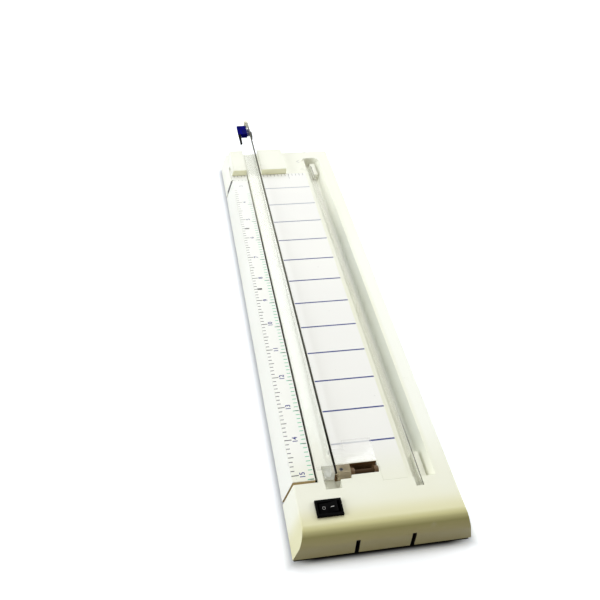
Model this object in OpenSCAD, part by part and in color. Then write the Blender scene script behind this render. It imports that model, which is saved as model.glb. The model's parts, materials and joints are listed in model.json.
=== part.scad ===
// Sliding paper trimmer: a moulded base with a printed bed, a hinged clear rail that carries
// the blade slider, a ruler arm that swings out, and a lit groove fed by a rocker switch.
// Millimetres. +X right, +Y away from the user, +Z up. The origin is on the table, under
// the middle of the whole trimmer.

/* [Base] */
// Length of the near block, from the front to the seam of the ruler arm
near_len = 35; // [34:0.5:60]
// Length of the bed, from that seam to the face of the fence
bed_len = 327.5; // [220:0.5:400]
// Length of the far block, from the face of the fence to the back
far_len = 43.5; // [42:0.5:60]
// Width of the base at its bottom edge
base_w = 101; // [96:0.5:140]
// Height of the base from its bottom edge to the bed
base_h = 18; // [17.5:0.5:24]
// Thickness of the moulded walls
wall = 2.2; // [1.6:0.1:2.6]
// How far the left side leans in from bottom to top
left_lean = 5.4; // [3:0.1:7]
// How far the right side leans in from bottom to top
right_lean = 3.9; // [1:0.1:6]
// Radius of the nose at the front and the back
nose_r = 9; // [5:0.5:12]
// Radius of the long top edges
edge_r = 1.2; // [0.5:0.1:2]
// Thickness of the bottom cover
cover_t = 2; // [1.5:0.1:2.5]
// Height of the rubber feet
foot_h = 2.5; // [2.2:0.1:5]
// Diameter of the rubber feet
foot_d = 12; // [8:0.5:16]
// Width of the release notches in the front
notch_w = 2.2; // [1.5:0.1:5]
// Height of the release notches in the front
notch_h = 11.3; // [4:0.1:12]
// Distance between the release notches
notch_gap = 31.4; // [20:0.2:50]

/* [Cut line] */
// Distance of the cut line from the left bottom edge
cut_inset = 19; // [17.5:0.1:24]
// Width of the cut slot between the arm and the bed
slot_w = 1.3; // [0.9:0.1:2]
// Width of the slit that lets the blade through the fence
slit_w = 0.9; // [0.8:0.05:1.2]
// Width of the cutting strip under the slot
strip_w = 3.4; // [2:0.1:5]
// Height of the cutting strip
strip_h = 2.2; // [1:0.1:2.6]
// Height of the fence above the bed
fence_h = 5.3; // [4:0.1:5.4]
// Width of the right fence
fence_w = 22.2; // [12:0.2:36]
// Thickness of the printed sheets
label_t = 0.25; // [0.15:0.05:0.5]

/* [Ruler arm] */
// How far the ruler lies below the bed
arm_step = 0.3; // [0.3:0.1:2.5]
// Thickness of the arm's top and skirt
arm_t = 2.2; // [1.6:0.1:2.6]
// Gap at the arm's free end
arm_gap = 1.9; // [0.8:0.1:4]
// Gap between the arm's skirt and the far block
skirt_gap = 2; // [1.8:0.1:4]
// Distance of the far block's side wall in front of the fence
skirt_back = 5.8; // [4:0.1:6.4]
// Depth of the relief cut in the arm's edge above that gap
relief = 1.2; // [0.8:0.1:2]
// Distance of the arm's pivot behind the face of the fence
pivot_back = 10; // [9:0.2:14]
// Diameter of the arm's pivot pin
pivot_d = 5; // [3:0.1:6]
// Number of stiffening ribs under the arm
arm_ribs = 5; // [2:1:9]

/* [Rail] */
// How far the rail reaches past the back of the base
rail_overhang = 46; // [40:0.5:80]
// Gap between the edge of the bed and the rail
rail_setback = 0.6; // [0.4:0.05:2]
// Width of the rail's flat plate
plate_w = 6.4; // [5:0.1:9]
// Thickness of the rail's flat plate
plate_t = 3; // [2:0.1:3.2]
// Width of the rail's upright rib
rib_w = 2.2; // [1.8:0.1:4]
// Height of the rail's upright rib
rib_h = 6.4; // [6:0.1:9]
// Height of the track cut through the rib
track_h = 1.4; // [1:0.1:1.8]
// Thickness of the dark steel strip on the rib
edge_strip_t = 1.1; // [0.4:0.05:1.4]
// Height of the dark steel strip on the rib
edge_strip_h = 1.2; // [0.6:0.1:1.3]
// Length of the cap on the rail's end
cap_len = 4; // [2:0.5:8]

/* [Hinge] */
// Distance of the hinge pin behind the seam of the arm
hinge_back = 5.3; // [4:0.1:8]
// Depth of the hinge pin below the bed
hinge_drop = 1.8; // [1.6:0.1:2.4]
// Diameter of the hinge pin
hinge_d = 2.5; // [1.5:0.1:3]
// Radius of the clear knuckle
knuckle_r = 3.9; // [3:0.1:4.2]
// Width of the clear knuckle
knuckle_w = 7; // [5:0.1:10]
// Width of the window beside the rail
window_w = 24; // [18:0.2:32]
// Reach of the window in front of the hinge pin
window_near = 2.8; // [2.7:0.1:4]
// Length of the rail behind its hinge pin
tail_len = 4.9; // [3:0.1:6]
// Reach of the hinge tab along the rail
tab_reach = 14.6; // [8:0.2:18]
// Reach of the hinge wing along the bed
wing_reach = 20.6; // [10:0.2:26]
// Thickness of the hinge tab
tab_t = 2; // [1.4:0.1:2.2]
// Thickness of the hinge wing
wing_t = 1.6; // [1:0.1:2]

/* [Slider] */
// Length of the slider along the rail
slider_len = 15; // [10:0.5:18]
// Height of the slider's top above the bed
slider_top = 8.4; // [7.8:0.1:11]
// Length of the blade holder ahead of the slider
holder_len = 17; // [11:0.5:19]
// Width of the blade holder
holder_w = 2.4; // [1.9:0.1:2.6]
// Thickness of the blade
blade_t = 0.4; // [0.2:0.05:0.5]
// Depth of the blade below the bed
blade_depth = 1.6; // [0.8:0.1:1.8]
// Length of the slider's clip
clip_len = 9.7; // [9:0.1:12]
// Thickness of the slider's clip
clip_t = 0.9; // [0.6:0.1:1.4]

/* [Light groove] */
// Distance of the groove from the right bottom edge
groove_inset = 13.9; // [11:0.1:18]
// Width of the groove
groove_w = 16.1; // [14:0.1:20]
// Depth of the groove
groove_depth = 8; // [6:0.1:9]
// Width of the shelf on the groove's left
shelf_w = 3.3; // [2:0.1:5]
// Width of the clear light bar
bar_w = 4.3; // [2:0.1:4.5]
// Radius of the groove's far corners
groove_r = 6; // [3:0.5:7]
// Diameter of the lamp
led_d = 3; // [2:0.1:4]

/* [Switch and battery] */
// Width of the switch frame across the trimmer
switch_w = 14.8; // [13:0.1:20]
// Length of the switch frame along the trimmer
switch_l = 10.3; // [9:0.1:14]
// Depth of the switch body below the base's top
switch_depth = 10; // [8:0.1:10.5]
// Tilt of the rocker to each side
rocker_tilt = 8; // [4:0.5:10]
// Diameter of a battery cell
cell_d = 10.5; // [8:0.1:11]
// Length of a battery cell
cell_l = 44.5; // [30:0.5:51]
// Number of battery cells
cell_count = 3; // [2:1:3]

/* [Hidden] */
$fn = 64;
// How far a cutting shape runs past the surface that it cuts
past = 1;
// Gap between parts that slide or swing past each other
run = 0.3;
// Gap between a loose insert and its seat
fit = 0.2;
// Gap round a pin in its bore, on the radius
pin_run = 0.05;

base_len = near_len + bed_len + far_len;
x_left = -base_w / 2;
x_right = base_w / 2;
y_front = -(base_len + rail_overhang) / 2;
y_seam = y_front + near_len;
y_fence = y_seam + bed_len;
y_back = y_fence + far_len;
y_tip = y_back + rail_overhang;
z_edge = foot_h;
z_bed = z_edge + base_h;
z_cover = z_edge + cover_t;
z_ceiling = z_bed - wall - label_t;
fence_len = far_len - nose_r;

function left_face(z) = x_left + left_lean * (z - z_edge) / base_h;
function right_face(z) = x_right - right_lean * (z - z_edge) / base_h;

// Cut line and ruler arm
cut_x = x_left + cut_inset;
arm_x = cut_x - slot_w / 2;
bed_x = cut_x + slot_w / 2;
bay_x = bed_x + wall;
arm_face = z_bed - arm_step;
arm_top = arm_face - label_t;
arm_under = arm_top - arm_t;
arm_y = y_seam + arm_gap;
y_bay = y_fence - skirt_back;
skirt_y = y_bay - skirt_gap;
pocket_z = arm_under - run;
tongue_r = (arm_x - left_face(arm_top)) / 2;
pivot_x = arm_x - tongue_r;
pivot_y = y_fence + pivot_back;
shelf_z = arm_under - strip_h - run;
shelf_x = bed_x - strip_w - fit;
boss_r = pivot_d / 2 + 2;
pivot_head = 1.4;
pivot_in = fence_h - 2.5;
label_tuck = 4;
glide_r = 4;
glide_y = arm_y + arm_t + glide_r + 4;

// Rail and its hinge
rail_x = bed_x + rail_setback;
rib_x = rail_x + plate_w;
rail_side = rib_x + rib_w;
rail_z = z_bed + fit;
plate_z = rail_z + plate_t;
rib_z = rail_z + rib_h;
track_z = plate_z + 0.7;
strip_z = max(rib_z - edge_strip_h, track_z + track_h);
hinge_y = y_seam + hinge_back;
hinge_z = z_bed - hinge_drop;
rail_y = hinge_y - tail_len;
cradle_t = 1.2;
pit_x = bay_x + cradle_t;
lift_start = hinge_drop + fit + 0.2;
tail_x = pit_x + run;
knuckle_gap = 3.1;
knuckle_x = rail_side + knuckle_gap;
knuckle_end = knuckle_x + knuckle_w;
window_x = knuckle_x - 0.4;
window_end = window_x + window_w;
window_half = knuckle_r + 1.1;
seam_x = rail_side + edge_strip_t + 0.8;
tail_reach = norm([tail_len, rib_z - hinge_z]);
tail_drop = norm([tail_len, rail_z - hinge_z]);
pit_y = hinge_y - tail_reach - 0.9;
pit_z = hinge_z - max(tail_drop, knuckle_r) - 0.9;
bearing_t = 2.2;
bearing_x = knuckle_end + 0.5;
grub_d = 2.2;
grub_x = knuckle_x + 1.7;

// Slider
slider_back = 28;
slider_y = y_tip - slider_back;
slider_end = slider_y + slider_len;
slider_x = cut_x - 1.1;
slider_z = plate_z + fit;
holder_z = z_bed + fence_h + 0.4;
holder_top = holder_z + 1.5;
holder_tip = slider_y - holder_len;
holder_end = rail_x + 0.1;
clip_x = rail_side + edge_strip_t + fit;
clip_end = clip_x + clip_t;
clip_y = slider_y - 3.4;
clip_spots = [clip_y + clip_len - 4.2, clip_y + clip_len - 1.6];
gap_end = clip_end + 0.6;
tongue_gap = 0.15;

// Light groove
groove_end = x_right - groove_inset;
groove_x = groove_end - groove_w;
groove_y = y_seam - 3.6;
label_rim = 0.7;
label_x = window_end + label_rim;
label_y = hinge_y + window_half + label_rim;
notch_x = (groove_x + bed_x) / 2 + 5.6;
notch_spots = [notch_x - notch_gap / 2, notch_x + notch_gap / 2];
groove_back = y_back - 18;
groove_z = z_bed - groove_depth;
shelf_drop = 1.2;
slope_w = 3.9;
bar_x = groove_x + shelf_w;
bar_end = bar_x + bar_w;
bar_y = groove_y - 5.8;
bar_back = groove_back - 13.6;
bar_gap = 0.25;
holder_near = 20;
holder_far = 25;
pan_t = 1.6;
lamp_x = (bar_x + bar_end) / 2;
lamp_z = groove_z + groove_depth / 2 - 0.5;
pan_y = bar_y - fit - pan_t;
post_len = 1.7;
board_y = pan_y - post_len;
board_t = 1.6;
board_w = 11;
board_h = 9;

// Switch
switch_x = cut_x + 3.05;
switch_y = y_front + 17.4;
bezel_h = 1.6;
body_w = switch_w - 1.8;
body_l = switch_l - 1.7;
rocker_r = body_w / 2 - 0.7;
rocker_l = body_l - 1.9;
rock_z = z_bed - 1.2;
trunnion_d = 1.6;
trunnion_l = 0.7;

// Battery
cell_pitch = cell_d + 0.6;
tray_t = 1.2;
tray_w = cell_count * cell_pitch + 2 * tray_t;
contact_t = 0.4;
tray_l = cell_l + 2 * contact_t + 2 * tray_t + 1.4;
tray_back = 65;
tray_x = (bay_x + groove_x - pan_t - tray_w) / 2;
contact_half = 4;
spring_d = 5;
tray_y = y_seam + tray_back;
door_gap = 0.15;
lip_t = 0.5;
floor_gap = 0.3;
door_t = foot_h - lip_t - floor_gap - 2 * door_gap;
door_z = z_edge - door_gap - door_t;
door_lap = 1;
door_over = door_lap - tray_t;
door_travel = 60;
cell_z = z_edge + run + cell_d / 2;
tray_top = cell_z + cell_d / 2 + tray_t + 0.6;

// Fasteners
screw_d = 2.6;
head_d = 5;
head_h = 1.2;
post_r = 3.4;
screw_len = 9;
right_post = (groove_end + right_face(z_bed)) / 2;
left_post = bay_x + 5;
post_inset = 11;
post_back = 7;
foot_inset = 12;
foot_side = 10;
fence_inset = 5;
cover_spots = [
    [left_face(z_edge) + post_inset, y_seam - post_back], [right_post, y_seam - post_back],
    [left_post, y_seam + bed_len * 0.5], [right_post, y_seam + bed_len * 0.5],
    [left_post + 2, y_back - foot_inset], [right_post, y_back - 2 * foot_inset]];
foot_spots = [
    [x_left + foot_side, y_front + foot_inset], [x_right - foot_side, y_front + foot_inset],
    [x_left + foot_side, y_back - foot_inset], [x_right - foot_side, y_back - foot_inset]];
fence_x = gap_end + fence_w;
fence_spots = [
    [pivot_x + 1, y_fence + fence_len - fence_inset], [gap_end + fence_inset, y_fence + fence_len / 2],
    [fence_x - fence_inset, y_fence + fence_len / 2]];

// Shared shapes

// Box between two opposite corners
module block(low, high) {
    translate(low) cube(high - low);
}

// Extrudes a drawing of X and Z along Y
module along_y(y0, y1) {
    translate([0, y1, 0]) rotate([90, 0, 0]) linear_extrude(y1 - y0) children();
}

// Extrudes a drawing of Y and Z along X
module along_x(x0, x1) {
    translate([x0, 0, 0]) rotate([90, 0, 90]) linear_extrude(x1 - x0) children();
}

// Round bar along X, Y or Z
module bar_along_x(x0, x1, y, z, d) {
    translate([x0, y, z]) rotate([0, 90, 0]) cylinder(h = x1 - x0, d = d);
}
module bar_along_y(x, y0, y1, z, d) {
    translate([x, y1, z]) rotate([90, 0, 0]) cylinder(h = y1 - y0, d = d);
}
module bar_along_z(x, y, z0, z1, d) {
    translate([x, y, z0]) cylinder(h = z1 - z0, d = d);
}

// Screw with a pan head, its head under the piece and its shank pointing up
module pan_screw(length, d) {
    difference() {
        union() {
            translate([0, 0, -head_h]) cylinder(h = head_h, d = head_d);
            cylinder(h = length, d = d);
        }
        translate([-head_d / 2, -0.4, -head_h - past]) cube([head_d, 0.8, past + 0.5]);
        translate([-0.4, -head_d / 2, -head_h - past]) cube([0.8, head_d, past + 0.5]);
    }
}

// Rectangle with rounded corners at its far end
module groove_plan(x0, x1, y0, y1, r) {
    translate([x0, y0]) square([x1 - x0, y1 - y0 - r]);
    translate([x0 + r, y0]) square([x1 - x0 - 2 * r, y1 - y0]);
    for (x = [x0 + r, x1 - r]) translate([x, y1 - r]) circle(r);
}

// Base

// Points on an arc from one angle to another
function arc(centre, r, from, to) =
    [for (i = [0 : 8]) let (t = from + (to - from) * i / 8) centre + r * [cos(t), sin(t)]];

// Rounded top corner on the left and on the right, where a leaning side meets a flat top
function left_corner(z, r) =
    let (a = atan(left_lean / base_h))
    arc([left_face(z) + r * (1 - sin(a)) / cos(a), z - r], r, 180 - a, 90);
function right_corner(z, r) =
    let (a = atan(right_lean / base_h))
    arc([right_face(z) - r * (1 - sin(a)) / cos(a), z - r], r, 90, a);

// Leaning section between two heights, with its top edges rounded
module leaning_section(z0, z1, r) {
    polygon(concat([[left_face(z0), z0]], left_corner(z1, r), right_corner(z1, r), [[right_face(z0), z0]]));
}

// Side view of the base with a round nose at both ends
module nose_profile(inset, z0, z1) {
    r = nose_r - inset;
    translate([y_front + inset, z0]) square([base_len - 2 * inset, z1 - r - z0]);
    translate([y_front + inset + r, z0]) square([base_len - 2 * inset - 2 * r, z1 - z0]);
    for (y = [y_front + nose_r, y_back - nose_r]) translate([y, z1 - r]) circle(r);
}

module base_block() {
    intersection() {
        along_y(y_front, y_back) leaning_section(z_edge, z_bed, edge_r);
        along_x(x_left, x_right) nose_profile(0, z_edge, z_bed);
    }
}

// Space inside the base, open at the bottom
module base_cavity() {
    z0 = z_edge - past;
    intersection() {
        along_y(y_front, y_back) polygon([
            [left_face(z0) + wall, z0], [left_face(z_ceiling) + wall, z_ceiling],
            [right_face(z_ceiling) - wall, z_ceiling], [right_face(z0) - wall, z0]]);
        along_x(x_left, x_right) nose_profile(wall, z0, z_ceiling);
        union() {
            block([bay_x, y_front, z0], [x_right, y_back, z_bed]);
            block([x_left, y_front, z0], [bay_x + past, y_seam - wall, z_bed]);
            block([x_left, y_bay + wall, z0], [bay_x + past, y_back, pocket_z - wall]);
        }
    }
}

// Open side in which the ruler arm lies
module arm_bay() {
    block([x_left - past, y_seam, z_edge - past], [bed_x, y_bay, z_bed + past]);
}

// Gap in the side between the arm's skirt and the far block
module side_relief() {
    block([x_left - past, skirt_y, arm_under - past], [left_face(arm_top) + relief, y_bay, z_bed + past]);
}

// Room that the arm's round end sweeps, under the left fence
module swing_pocket() {
    r = tongue_r + run;
    z1 = z_bed + past;
    block([x_left - past, y_bay - past, pocket_z], [pivot_x, pivot_y + r, z1]);
    block([x_left - past, y_bay - past, pocket_z], [pivot_x + r, pivot_y, z1]);
    bar_along_z(pivot_x, pivot_y, pocket_z, z1, 2 * r);
}

// Window and rail pit over the hinge
module hinge_opening(z0, z1) {
    y1 = hinge_y + window_half;
    block([pit_x, pit_y, z0], [window_x + past, y1, z1]);
    block([window_x, hinge_y - window_half, z0], [knuckle_end + run, y1, z1]);
    block([window_x, hinge_y - window_near, z0], [window_end, y1, z1]);
}

// Groove with its shelf, its sloping right wall and the seat of the light bar
module light_groove() {
    top = z_bed + past;
    intersection() {
        translate([0, 0, groove_z - past]) linear_extrude(groove_depth + 2 * past)
            groove_plan(groove_x, groove_end, groove_y, groove_back, groove_r);
        along_y(groove_y - past, groove_back + past) polygon([
            [groove_x, z_bed - shelf_drop], [bar_x - bar_gap, z_bed - shelf_drop],
            [bar_x - bar_gap, groove_z], [groove_end - slope_w, groove_z],
            [groove_end, z_bed], [groove_end, top], [groove_x, top]]);
    }
    block([bar_x - bar_gap, bar_y - fit, groove_z], [bar_end + bar_gap, bar_back + fit, top]);
}

module groove_pan() {
    z0 = groove_z - pan_t;
    block([groove_x - pan_t, pan_y, z0], [groove_end + pan_t, groove_back + pan_t, z_bed - wall]);
    for (x = [lamp_x - board_w / 2, lamp_x + board_w / 2 - 2])
        block([x, board_y, z0], [x + 2, pan_y + past, lamp_z + 2]);
}

// Well under the rail's tail
module tail_well() {
    block([bay_x - past, pit_y - cradle_t, pit_z - cradle_t],
        [seam_x, hinge_y + window_half + cradle_t, z_bed - wall]);
}

module base_posts() {
    for (s = cover_spots) bar_along_z(s[0], s[1], z_cover, z_bed - wall, 2 * post_r);
    bar_along_z(pivot_x, pivot_y, z_cover + 3, pocket_z - past, 2 * boss_r);
}

module base_shell() {
    half_w = body_w / 2 + fit / 2;
    half_l = body_l / 2 + fit / 2;
    color("ivory") difference() {
        union() {
            difference() {
                base_block();
                base_cavity();
                arm_bay();
            }
            intersection() {
                base_block();
                union() {
                    groove_pan();
                    tail_well();
                    base_posts();
                }
            }
            block([shelf_x, y_seam - past, shelf_z - wall], [bed_x + past, y_bay + past, shelf_z]);
        }
        swing_pocket();
        block([cut_x - slit_w / 2, y_bay - past, z_bed - blade_depth - 2 * fit],
            [cut_x + slit_w / 2, y_back + past, z_bed + past]);
        bar_along_z(pivot_x, pivot_y, z_edge, pocket_z + past, pivot_d + 2 * pin_run);
        hinge_opening(pit_z, z_bed + past);
        light_groove();
        bar_along_y(lamp_x, pan_y - past, bar_y, lamp_z, led_d + 2 * fit);
        sheet_room(0, z_bed + past);
        block([switch_x - half_w, switch_y - half_l, z_ceiling - past],
            [switch_x + half_w, switch_y + half_l, z_bed + past]);
        for (x = notch_spots)
            block([x - notch_w / 2, y_front - past, z_edge - past],
                [x + notch_w / 2, y_front + wall + past, z_edge + notch_h]);
        for (s = cover_spots) bar_along_z(s[0], s[1], z_cover - past, z_cover + screw_len, screw_d + 0.1);
        for (s = fence_spots) bar_along_z(s[0], s[1], z_cover + past, z_bed + past, screw_d + 0.2);
    }
}

// Plan of the space that the cover fills, set in from the walls
module cover_plan(inset) {
    x0 = left_face(z_cover) + wall + inset;
    x1 = right_face(z_cover) - wall - inset;
    y0 = y_front + wall + inset;
    y1 = y_back - wall - inset;
    translate([bay_x + inset, y0]) square([x1 - bay_x - inset, y1 - y0]);
    translate([x0, y0]) square([x1 - x0, y_seam - wall - inset - y0]);
    translate([x0, y_bay + wall + inset]) square([x1 - x0, y1 - y_bay - wall - inset]);
}

module bottom_cover() {
    guide_x = [tray_x - door_over - fit, tray_x + tray_w + door_over + fit];
    guide_y = tray_y - door_over - 3;
    guide_end = tray_y + tray_l + door_over + door_travel + 2;
    color("dimgray") difference() {
        union() {
            translate([0, 0, z_edge]) linear_extrude(cover_t) cover_plan(fit);
            block([guide_x[0] - 1.4, guide_y, floor_gap], [guide_x[0], guide_end, z_edge]);
            block([guide_x[1], guide_y, floor_gap], [guide_x[1] + 1.4, guide_end, z_edge]);
            block([guide_x[0] - 1.4, guide_y, floor_gap], [guide_x[0] + 1.2, guide_end, floor_gap + lip_t]);
            block([guide_x[1] - 1.2, guide_y, floor_gap], [guide_x[1] + 1.4, guide_end, floor_gap + lip_t]);
        }
        block([tray_x + tray_t, tray_y + tray_t, z_edge - past],
            [tray_x + tray_w - tray_t, tray_y + tray_l - tray_t, z_cover + past]);
        for (x = notch_spots)
            block([x - notch_w, y_front, z_edge - past], [x + notch_w, y_front + 3 * wall, z_cover + past]);
        for (s = cover_spots) {
            bar_along_z(s[0], s[1], z_edge - past, z_cover + past, screw_d + 0.4);
            bar_along_z(s[0], s[1], z_edge - past, z_edge + head_h, head_d + 0.4);
        }
    }
}

module cover_screws() {
    color("silver") for (s = cover_spots)
        translate([s[0], s[1], z_edge + head_h]) pan_screw(screw_len - 1, screw_d);
}

module rubber_feet() {
    color("dimgray") for (s = foot_spots) translate([s[0], s[1], 0]) rotate_extrude()
        polygon([[0, 0], [foot_d / 2 - 0.6, 0], [foot_d / 2, 0.6], [foot_d / 2, z_edge], [0, z_edge]]);
}

// Room for the printed sheet on the bed, which runs past the hinge window on its right
module sheet_room(inset, z1) {
    block([gap_end + inset, label_y + inset, z_bed - label_t], [groove_x - inset, y_fence - inset, z1]);
    block([label_x + inset, groove_y + inset, z_bed - label_t], [groove_x - inset, y_fence - inset, z1]);
}

module bed_label() {
    color("white") sheet_room(fit / 2, z_bed);
}

module cutting_strip() {
    color("black") block([bed_x - strip_w, y_seam + fit, shelf_z],
        [bed_x - fit / 2, y_bay - fit, shelf_z + strip_h]);
}

module fence_left() {
    top = z_bed + fence_h;
    x1 = cut_x - slit_w / 2;
    color("ivory") difference() {
        along_y(y_fence, y_fence + fence_len)
            polygon(concat([[left_face(z_bed), z_bed]], left_corner(top, edge_r),
                [[x1, top], [x1, z_bed]]));
        bar_along_z(pivot_x, pivot_y, z_bed - past, z_bed + pivot_in + fit, pivot_d + 2 * pin_run);
        bar_along_z(fence_spots[0][0], fence_spots[0][1], z_bed - past, top - 1.3, screw_d + 0.1);
    }
}

module fence_right() {
    color("ivory") difference() {
        block([gap_end, y_fence, z_bed], [fence_x, y_fence + fence_len, z_bed + fence_h]);
        for (s = [fence_spots[1], fence_spots[2]])
            bar_along_z(s[0], s[1], z_bed - past, z_bed + fence_h - 1.5, screw_d + 0.1);
    }
}

module fence_screws() {
    left = fence_spots[0];
    color("silver") {
        translate([left[0], left[1], pocket_z - wall])
            pan_screw(z_bed + fence_h - 1.8 - pocket_z + wall, screw_d);
        for (s = [fence_spots[1], fence_spots[2]])
            translate([s[0], s[1], z_ceiling]) pan_screw(wall + label_t + fence_h - 2, screw_d);
    }
}

// Ruler arm

module ruler_arm() {
    skirt = arm_t / cos(atan(left_lean / base_h));
    rib_end = shelf_x - run - fit;
    pitch = (skirt_y - arm_y - arm_t) / (arm_ribs + 1);
    color("whitesmoke") difference() {
        union() {
            along_y(arm_y, skirt_y) polygon([
                [left_face(z_edge), z_edge], [left_face(arm_top), arm_top], [arm_x, arm_top],
                [arm_x, arm_under], [left_face(arm_under) + skirt, arm_under],
                [left_face(z_edge) + skirt, z_edge]]);
            block([left_face(arm_top), skirt_y - past, arm_under], [arm_x, pivot_y, arm_top]);
            bar_along_z(pivot_x, pivot_y, arm_under, arm_top, 2 * tongue_r);
            along_y(arm_y, arm_y + arm_t) polygon([
                [left_face(z_edge), z_edge], [left_face(arm_top), arm_top],
                [rib_end, arm_top], [rib_end, z_edge]]);
            for (i = [1 : arm_ribs]) translate([0, i * pitch, 0])
                along_y(arm_y, arm_y + 1.6) polygon([
                    [left_face(z_edge + 3) + 1, z_edge + 3], [left_face(arm_top) + 1, arm_top],
                    [rib_end, arm_top], [rib_end, z_edge + 3]]);
            bar_along_z(pivot_x, glide_y, z_edge, arm_top, 2 * glide_r - 2);
        }
        bar_along_z(pivot_x, pivot_y, arm_under - past, arm_top + past, pivot_d + 2 * pin_run);
        side_relief();
    }
}

module ruler_label() {
    color("white") difference() {
        block([left_face(arm_top) + run, arm_y + fit, arm_top],
            [arm_x - fit / 2, y_fence + label_tuck, arm_face]);
        side_relief();
    }
}

module arm_glide() {
    color("gray") translate([pivot_x, glide_y, 0]) rotate_extrude() polygon([
        [0, 0.2], [glide_r - 1.2, 0.2], [glide_r, 1.2], [glide_r, z_edge], [0, z_edge]]);
}

module arm_pivot_pin() {
    color("silver") {
        bar_along_z(pivot_x, pivot_y, z_cover + 3 - pivot_head, z_bed + pivot_in, pivot_d);
        bar_along_z(pivot_x, pivot_y, z_cover + 3 - pivot_head, z_cover + 3, pivot_d + 3);
    }
}

// Rail and hinge

module rail() {
    end = y_tip - cap_len;
    color("lightcyan", 0.5) difference() {
        union() {
            block([rail_x, hinge_y + lift_start, rail_z], [rail_side, end, plate_z]);
            block([tail_x, rail_y, rail_z], [rail_side, hinge_y + lift_start + past, plate_z]);
            block([rib_x, rail_y, rail_z], [rail_side, end, rib_z]);
        }
        block([rib_x - past, hinge_y + 10, track_z], [rail_side + past, end - 4, track_z + track_h]);
    }
}

module rail_edge_strip() {
    end = y_tip - cap_len;
    x1 = rail_side + edge_strip_t;
    color("dimgray") block([rail_side, rail_y, strip_z], [x1, end, rib_z]);
}

module rail_end_cap() {
    x1 = rail_side + edge_strip_t;
    r = cap_len / 2;
    color("wheat") translate([0, 0, rail_z]) linear_extrude(rib_h) {
        translate([rib_x - 0.6, y_tip - cap_len]) square([x1 - rib_x + 0.6 - r, cap_len]);
        translate([rib_x - 0.6, y_tip - cap_len]) square([x1 - rib_x + 0.6, cap_len - r]);
        translate([x1 - r, y_tip - r]) circle(r);
    }
}

module hinge_leaf() {
    z0 = z_bed + run;
    y0 = hinge_y - 1.8;
    tab_r = 3;
    color("lightcyan", 0.5) difference() {
        union() {
            bar_along_x(knuckle_x, knuckle_end, hinge_y, hinge_z, 2 * knuckle_r);
            translate([0, 0, z0]) linear_extrude(tab_t) {
                translate([rail_side, y0]) square([knuckle_w + knuckle_gap - tab_r, tab_reach + 1.8]);
                translate([rail_side, y0]) square([knuckle_w + knuckle_gap, tab_reach + 1.8 - tab_r]);
                translate([knuckle_end - tab_r, hinge_y + tab_reach - tab_r]) circle(tab_r);
            }
            block([knuckle_end - past, hinge_y + window_half + 0.2, z0],
                [window_end, hinge_y + wing_reach, z0 + wing_t]);
        }
        bar_along_x(knuckle_x - past, knuckle_end + past, hinge_y, hinge_z, hinge_d + 2 * pin_run);
        bar_along_z(grub_x, hinge_y, hinge_z, z0 + tab_t + past, grub_d + 2 * pin_run);
    }
}

module hinge_pin() {
    color("dimgray") bar_along_x(knuckle_x, window_end - 0.7, hinge_y, hinge_z, hinge_d);
}

module hinge_screw() {
    z1 = z_bed + run + tab_t - 0.1;
    color("black") difference() {
        bar_along_z(grub_x, hinge_y, hinge_z + hinge_d / 2, z1, grub_d);
        translate([grub_x, hinge_y, z1 - 0.8]) cylinder(h = past, d = grub_d / 2, $fn = 6);
    }
}

module hinge_cradle() {
    y1 = hinge_y + window_half + cradle_t;
    color("saddlebrown") difference() {
        union() {
            difference() {
                block([seam_x, pit_y - cradle_t, pit_z - cradle_t], [window_end + cradle_t, y1, z_ceiling]);
                hinge_opening(pit_z, z_bed);
            }
            for (x = [bearing_x, window_end - bearing_t]) {
                block([x, hinge_y - window_half, pit_z - cradle_t],
                    [x + bearing_t, hinge_y + window_half, z_ceiling]);
                bar_along_x(x, x + bearing_t, hinge_y, hinge_z, hinge_d + 2.4);
            }
        }
        bar_along_x(bearing_x - past, window_end - 0.6, hinge_y, hinge_z, hinge_d + 2 * pin_run);
    }
}

// Slider

module carriage_body() {
    top = z_bed + slider_top;
    color("navy") {
        along_x(holder_end, rib_x - fit) polygon([
            [slider_y, slider_z], [slider_y, holder_top], [slider_y + 1.5, top - 1],
                [slider_end - 4.5, top - 0.4],
            [slider_end - 3.5, top], [slider_end - 0.6, top], [slider_end, top - 0.6],
                [slider_end, slider_z]]);
        along_x(slider_x, holder_end + past) polygon([
            [slider_y, holder_top], [slider_y + 1.5, top - 1], [slider_end - 4.5, top - 0.4],
            [slider_end - 3.5, top], [slider_end - 0.6, top], [slider_end, top - 0.6],
                [slider_end, holder_top]]);
        block([rib_x - fit - past, slider_y + 1.5, track_z + tongue_gap],
            [clip_x, slider_end - 1.5, track_z + track_h - tongue_gap]);
    }
}

module blade_holder() {
    color("black") difference() {
        translate([0, 0, holder_z]) linear_extrude(holder_top - holder_z) polygon([
            [slider_x, slider_end], [slider_x, slider_y], [slider_x + 0.3, holder_tip],
            [slider_x + holder_w - 0.4, holder_tip], [slider_x + holder_w, slider_y],
                [holder_end, slider_y + past],
            [holder_end, slider_end]]);
        block([cut_x - blade_t / 2, holder_tip + 0.8, holder_z - past],
            [cut_x + blade_t / 2, holder_tip + 9.4, holder_top - 0.3]);
    }
}

module blade() {
    y0 = holder_tip + 0.8;
    z1 = holder_top - 0.3;
    tip = z_bed - blade_depth;
    color("lightgray") along_x(cut_x - blade_t / 2, cut_x + blade_t / 2) polygon([
        [y0, z1], [y0 + 8.6, z1], [y0 + 8.6, tip + 4.5], [y0 + 5.2, tip], [y0 + 4, tip], [y0, tip + 5]]);
}

module carriage_clip() {
    color("dimgray") difference() {
        block([clip_x, clip_y, track_z - 1], [clip_end, clip_y + clip_len, rib_z + 0.2]);
        for (y = clip_spots)
            bar_along_x(clip_x - past, clip_end + past, y, track_z + track_h / 2, 0.8);
    }
}

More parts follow.
